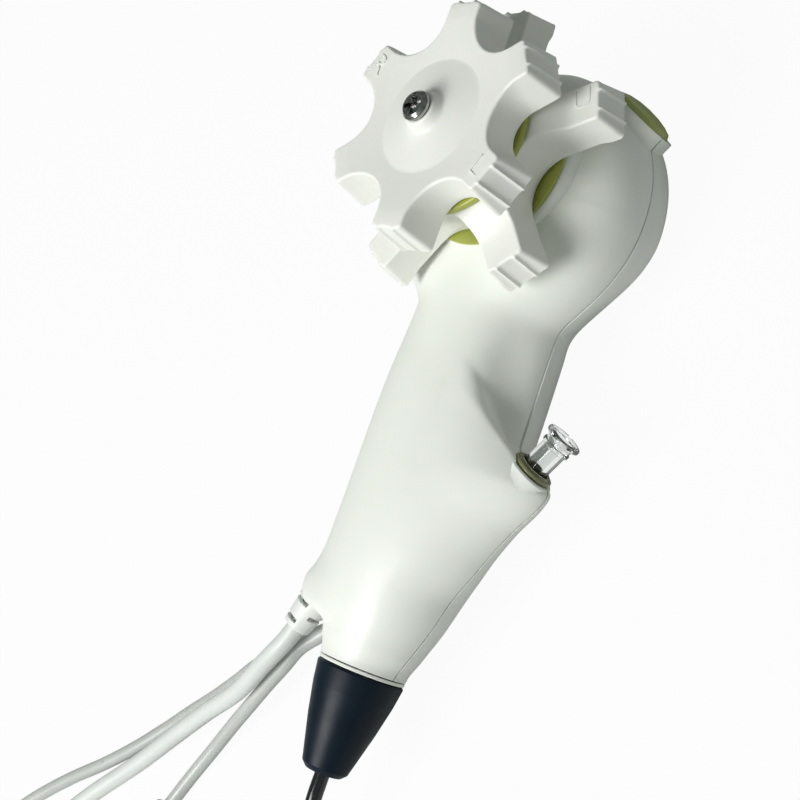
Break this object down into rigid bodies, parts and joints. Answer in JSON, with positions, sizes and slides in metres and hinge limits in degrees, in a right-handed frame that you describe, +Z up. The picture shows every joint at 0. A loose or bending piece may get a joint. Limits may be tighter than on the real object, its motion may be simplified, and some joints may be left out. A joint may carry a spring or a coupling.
{
  "type": "flexible endoscope",
  "caption": "Flexible endoscope: slim white handle with stacked lobed control wheels, olive button, side channel port, black boot, insertion tube and bending tip.",
  "frame": {"origin": "on the resting surface, under the middle of the handle's own bounding box, cords left out", "axes": "+Z up along the control wheels' axis, +Y from the boot to the head, +X to the channel port's side"},
  "size_m": [0.1826, 0.3147, 0.0643],
  "materials": {
    "housing": "satin near white plastic",
    "wheel": "satin off white plastic",
    "seal": "olive seal rubber",
    "button": "olive plastic",
    "boot": "satin black rubber",
    "port": "clear moulded plastic",
    "steel": "bright steel",
    "drum": "machined brass",
    "board": "circuit board",
    "tube": "glossy black tube",
    "cable": "white cable jacket",
    "tubing": "translucent soft tube",
    "lens": "polished glass"
  },
  "bodies": {
    "handle": {"front_shell": "housing", "back_shell": "housing", "boot": "boot", "boot_ring": "housing", "port_barrel": "port", "port_ring": "seal", "channel_connector": "housing", "channel_tube": "tubing", "bearing_bush": "steel", "chassis_plate": "steel", "camera_board": "board", "wire_guide": "housing", "ud_seal": "seal", "rl_wire_left": "steel", "rl_wire_right": "steel", "ud_wire_left": "steel", "ud_wire_right": "steel", "cable_relief": "housing", "camera_cable": "cable", "camera_cable_coil": "cable", "camera_cable_end": "cable", "camera_plug": "cable", "flushing_line": "tubing", "flushing_fitting": "housing", "suction_line": "tubing", "suction_fitting": "housing", "insertion_tube": "tube", "insertion_tube_coil": "tube", "insertion_tube_end": "tube", "bending_collar": "steel"},
    "rl_control": {"rl_wheel": "wheel", "rl_shaft": "steel", "rl_drum": "drum", "hub_screw": "steel"},
    "ud_control": {"ud_wheel": "wheel", "ud_sleeve": "steel", "ud_drum": "drum", "rl_seal": "seal"},
    "push_button": {"head_button": "button"},
    "link_1": {"bending_link_1": "steel"},
    "link_2": {"bending_link_2": "steel"},
    "link_3": {"bending_link_3": "steel"},
    "link_4": {"bending_link_4": "steel"},
    "link_5": {"bending_link_5": "steel"},
    "link_6": {"bending_link_6": "steel"},
    "link_7": {"bending_link_7": "steel"},
    "tip": {"distal_tip": "tube", "lens": "lens", "lamp_left": "lens", "lamp_right": "lens"}
  },
  "joints": [
    {"name": "rl_turn", "type": "hinge", "parent": "handle", "child": "rl_control", "pos_m": [-0.00137, 0.05134, 0.05], "axis": [0, 0, 1], "range_deg": [-90, 90]},
    {"name": "ud_turn", "type": "hinge", "parent": "handle", "child": "ud_control", "pos_m": [-0.00137, 0.05134, 0.04], "axis": [0, 0, 1], "range_deg": [-90, 90]},
    {"name": "button_push", "type": "slide", "parent": "handle", "child": "push_button", "axis": [-0.5299, -0.848, 0], "range_m": [0, 0.0015], "stiffness_N_per_m": 400},
    {"name": "bend_1", "type": "hinge", "parent": "handle", "child": "link_1", "pos_m": [0.04417, -0.12116, 0.00195], "axis": [0, 0, 1], "range_deg": [-27, 27]},
    {"name": "bend_2", "type": "hinge", "parent": "link_1", "child": "link_2", "pos_m": [0.04417, -0.11716, 0.00195], "axis": [1, 0, 0], "range_deg": [-27, 27]},
    {"name": "bend_3", "type": "hinge", "parent": "link_2", "child": "link_3", "pos_m": [0.04417, -0.11316, 0.00195], "axis": [0, 0, 1], "range_deg": [-27, 27]},
    {"name": "bend_4", "type": "hinge", "parent": "link_3", "child": "link_4", "pos_m": [0.04417, -0.10916, 0.00195], "axis": [1, 0, 0], "range_deg": [-27, 27]},
    {"name": "bend_5", "type": "hinge", "parent": "link_4", "child": "link_5", "pos_m": [0.04417, -0.10516, 0.00195], "axis": [0, 0, 1], "range_deg": [-27, 27]},
    {"name": "bend_6", "type": "hinge", "parent": "link_5", "child": "link_6", "pos_m": [0.04417, -0.10116, 0.00195], "axis": [1, 0, 0], "range_deg": [-27, 27]},
    {"name": "bend_7", "type": "hinge", "parent": "link_6", "child": "link_7", "pos_m": [0.04417, -0.09716, 0.00195], "axis": [0, 0, 1], "range_deg": [-27, 27]},
    {"name": "bend_8", "type": "hinge", "parent": "link_7", "child": "tip", "pos_m": [0.04417, -0.09316, 0.00195], "axis": [1, 0, 0], "range_deg": [-27, 27]}
  ],
  "couplings": [
    {"joint": "bend_1", "follows": "rl_turn", "ratio": 0.3},
    {"joint": "bend_2", "follows": "ud_turn", "ratio": 0.3},
    {"joint": "bend_3", "follows": "rl_turn", "ratio": 0.3},
    {"joint": "bend_4", "follows": "ud_turn", "ratio": 0.3},
    {"joint": "bend_5", "follows": "rl_turn", "ratio": 0.3},
    {"joint": "bend_6", "follows": "ud_turn", "ratio": 0.3},
    {"joint": "bend_7", "follows": "rl_turn", "ratio": 0.3},
    {"joint": "bend_8", "follows": "ud_turn", "ratio": 0.3}
  ]
}
